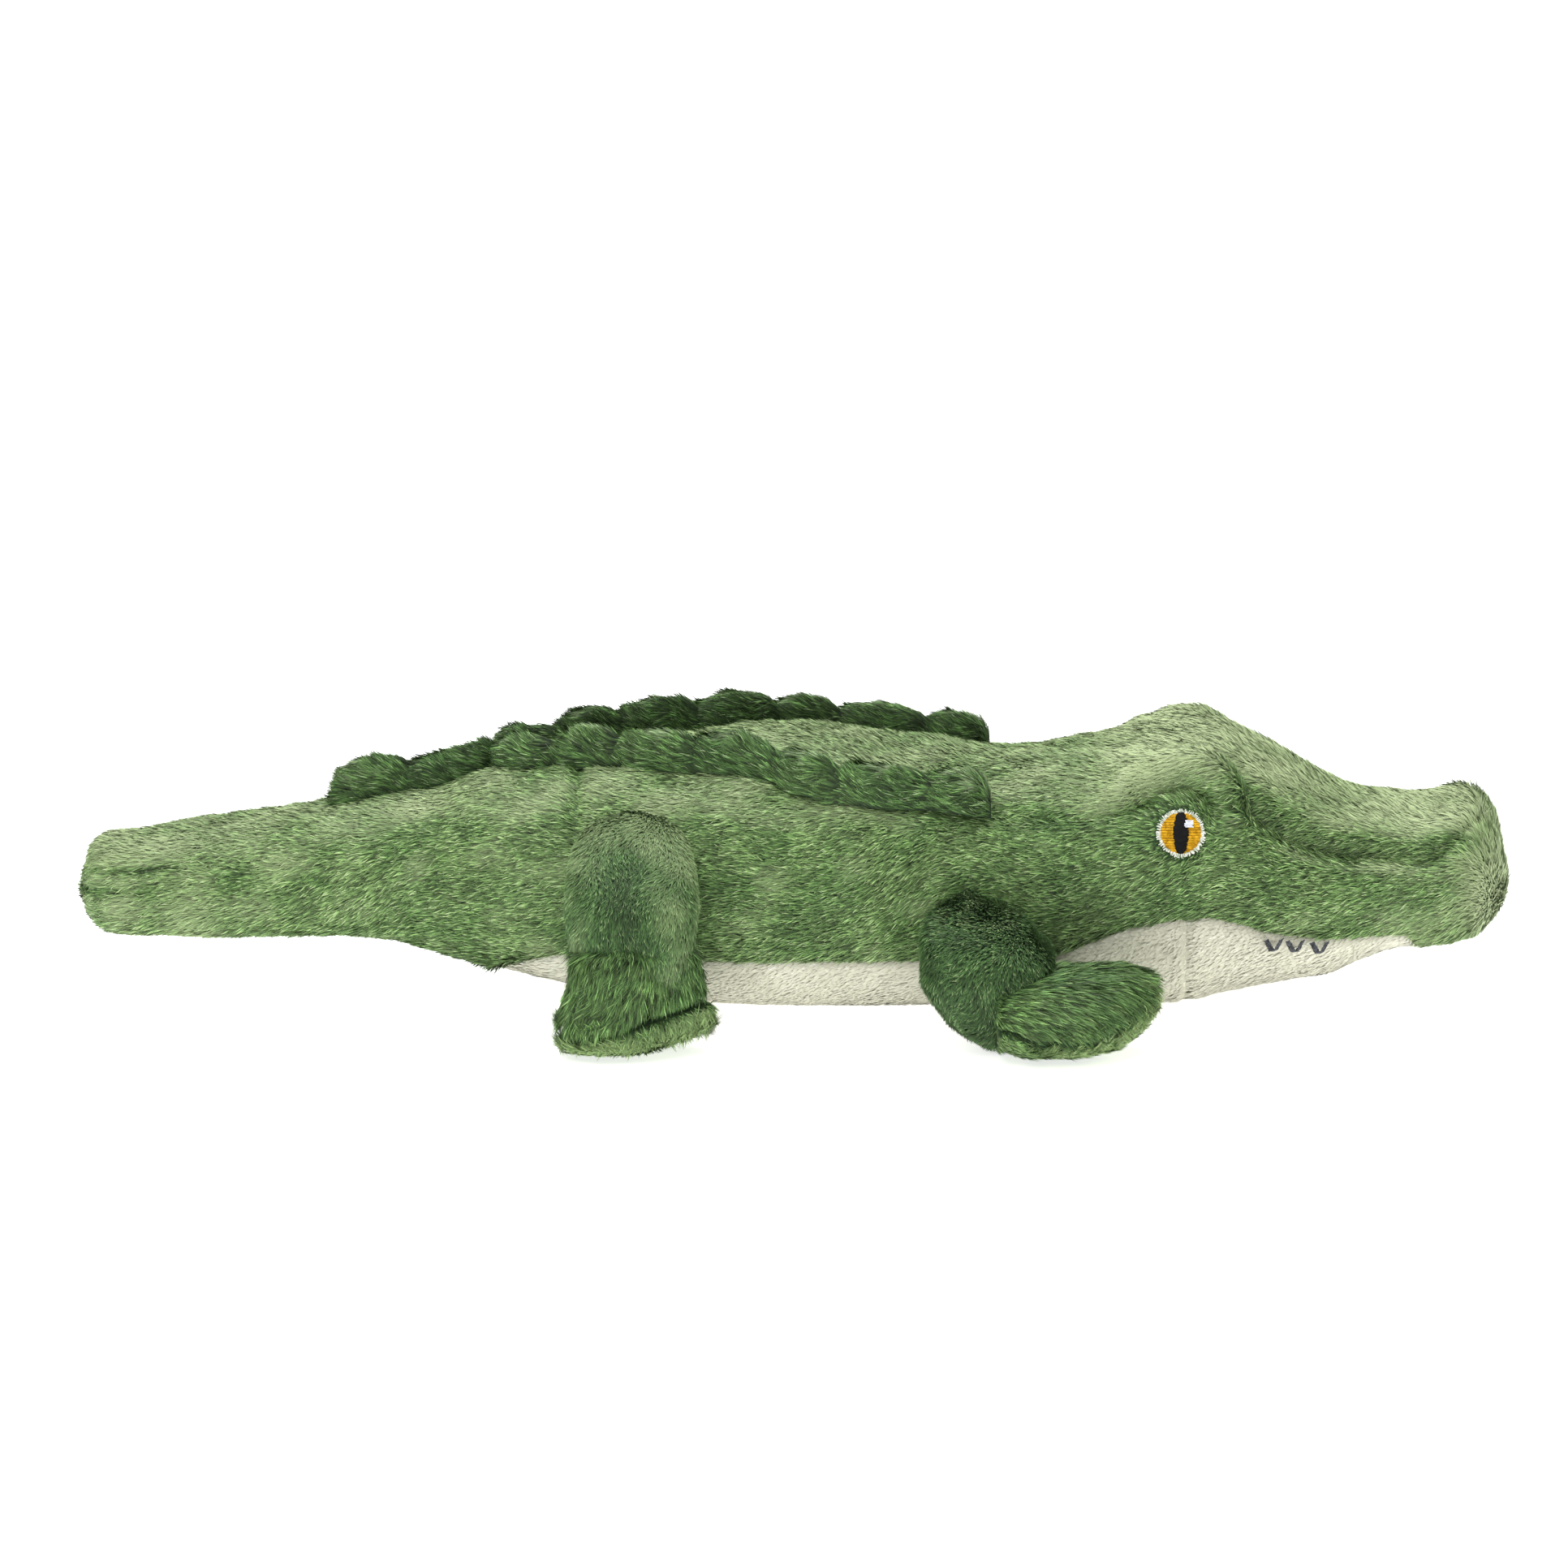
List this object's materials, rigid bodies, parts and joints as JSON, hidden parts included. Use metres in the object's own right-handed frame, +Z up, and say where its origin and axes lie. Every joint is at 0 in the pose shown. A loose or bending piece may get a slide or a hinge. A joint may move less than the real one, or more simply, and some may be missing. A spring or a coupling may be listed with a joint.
{
  "type": "plush crocodile",
  "caption": "Stuffed toy crocodile lying on its belly, with sewn plush panels, scalloped back strips, embroidered eyes and teeth, and a head, tail, legs and feet that flex.",
  "frame": {"origin": "centre of the toy's footprint, on the ground it lies on", "axes": "+X from the tail tip to the nose, +Y to the toy's left, +Z up"},
  "size_m": [0.38, 0.156, 0.0802],
  "materials": {
    "body_plush": "short-pile plush, green",
    "belly_plush": "short-pile plush, off-white",
    "leg_plush": "short-pile plush, darker green",
    "foot_plush": "long-pile plush, green",
    "fin_plush": "long-pile plush, dark green",
    "fibre_filling": "loose polyester fibre",
    "pouch_cotton": "woven cotton",
    "ring_thread": "embroidery thread, white",
    "amber_thread": "embroidery thread, amber satin stitch",
    "black_thread": "embroidery thread, black",
    "glint_thread": "embroidery thread, pale grey",
    "tooth_thread": "embroidery thread, dark grey"
  },
  "bodies": {
    "torso": {"back_panel": "body_plush", "side_panel_left": "body_plush", "side_panel_right": "body_plush", "belly_panel": "belly_plush", "torso_filling": "fibre_filling", "pellet_pouch": "pouch_cotton", "back_fin_left": "fin_plush", "back_fin_right": "fin_plush"},
    "head": {"head_top_panel": "body_plush", "head_side_panel_left": "body_plush", "head_side_panel_right": "body_plush", "jaw_panel": "belly_plush", "head_filling": "fibre_filling", "eye_ring_left": "ring_thread", "eye_ring_right": "ring_thread", "eye_iris_left": "amber_thread", "eye_iris_right": "amber_thread", "eye_pupil_left": "black_thread", "eye_pupil_right": "black_thread", "eye_glint_left": "glint_thread", "eye_glint_right": "glint_thread", "tooth_1_left": "tooth_thread", "tooth_1_right": "tooth_thread", "tooth_2_left": "tooth_thread", "tooth_2_right": "tooth_thread", "tooth_3_left": "tooth_thread", "tooth_3_right": "tooth_thread"},
    "tail": {"tail_panel_left": "body_plush", "tail_panel_right": "body_plush", "tail_filling": "fibre_filling", "tail_fin": "fin_plush"},
    "hind_leg_left": {"hind_leg_sleeve_left": "leg_plush", "hind_leg_filling_left": "fibre_filling"},
    "hind_foot_left": {"hind_foot_upper_left": "foot_plush", "hind_foot_sole_left": "foot_plush", "hind_foot_filling_left": "fibre_filling"},
    "hind_leg_right": {"hind_leg_sleeve_right": "leg_plush", "hind_leg_filling_right": "fibre_filling"},
    "hind_foot_right": {"hind_foot_upper_right": "foot_plush", "hind_foot_sole_right": "foot_plush", "hind_foot_filling_right": "fibre_filling"},
    "front_leg_left": {"front_leg_sleeve_left": "leg_plush", "front_leg_filling_left": "fibre_filling"},
    "front_foot_left": {"front_foot_upper_left": "foot_plush", "front_foot_sole_left": "foot_plush", "front_foot_filling_left": "fibre_filling"},
    "front_leg_right": {"front_leg_sleeve_right": "leg_plush", "front_leg_filling_right": "fibre_filling"},
    "front_foot_right": {"front_foot_upper_right": "foot_plush", "front_foot_sole_right": "foot_plush", "front_foot_filling_right": "fibre_filling"}
  },
  "joints": [
    {"name": "neck_turn", "type": "hinge", "parent": "torso", "child": "head", "pos_m": [0.076, 0, 0.035], "axis": [0, 0, 1], "range_deg": [-15, 15], "stiffness_Nm_per_rad": 0.15},
    {"name": "tail_sway", "type": "hinge", "parent": "torso", "child": "tail", "pos_m": [-0.10401, 0, 0.036], "axis": [0, 0, 1], "range_deg": [-20, 20], "stiffness_Nm_per_rad": 0.12},
    {"name": "hind_hip_left", "type": "hinge", "parent": "torso", "child": "hind_leg_left", "pos_m": [-0.04294, 0.045, 0.042], "axis": [0, 1, 0], "range_deg": [-20, 20], "stiffness_Nm_per_rad": 0.08},
    {"name": "hind_ankle_left", "type": "hinge", "parent": "hind_leg_left", "child": "hind_foot_left", "pos_m": [-0.04206, 0.06, 0.012], "axis": [0, 1, 0], "range_deg": [-12, 12], "stiffness_Nm_per_rad": 0.05},
    {"name": "front_shoulder_left", "type": "hinge", "parent": "torso", "child": "front_leg_left", "pos_m": [0.04408, 0.045, 0.03], "axis": [0, 1, 0], "range_deg": [-20, 20], "stiffness_Nm_per_rad": 0.08},
    {"name": "front_ankle_left", "type": "hinge", "parent": "front_leg_left", "child": "front_foot_left", "pos_m": [0.06718, 0.06, 0.013], "axis": [0, 1, 0], "range_deg": [-12, 12], "stiffness_Nm_per_rad": 0.05},
    {"name": "hind_hip_right", "type": "hinge", "parent": "torso", "child": "hind_leg_right", "pos_m": [-0.04294, -0.045, 0.042], "axis": [0, 1, 0], "range_deg": [-20, 20], "stiffness_Nm_per_rad": 0.08},
    {"name": "hind_ankle_right", "type": "hinge", "parent": "hind_leg_right", "child": "hind_foot_right", "pos_m": [-0.04206, -0.06, 0.012], "axis": [0, 1, 0], "range_deg": [-12, 12], "stiffness_Nm_per_rad": 0.05},
    {"name": "front_shoulder_right", "type": "hinge", "parent": "torso", "child": "front_leg_right", "pos_m": [0.04408, -0.045, 0.03], "axis": [0, 1, 0], "range_deg": [-20, 20], "stiffness_Nm_per_rad": 0.08},
    {"name": "front_ankle_right", "type": "hinge", "parent": "front_leg_right", "child": "front_foot_right", "pos_m": [0.06718, -0.06, 0.013], "axis": [0, 1, 0], "range_deg": [-12, 12], "stiffness_Nm_per_rad": 0.05}
  ]
}
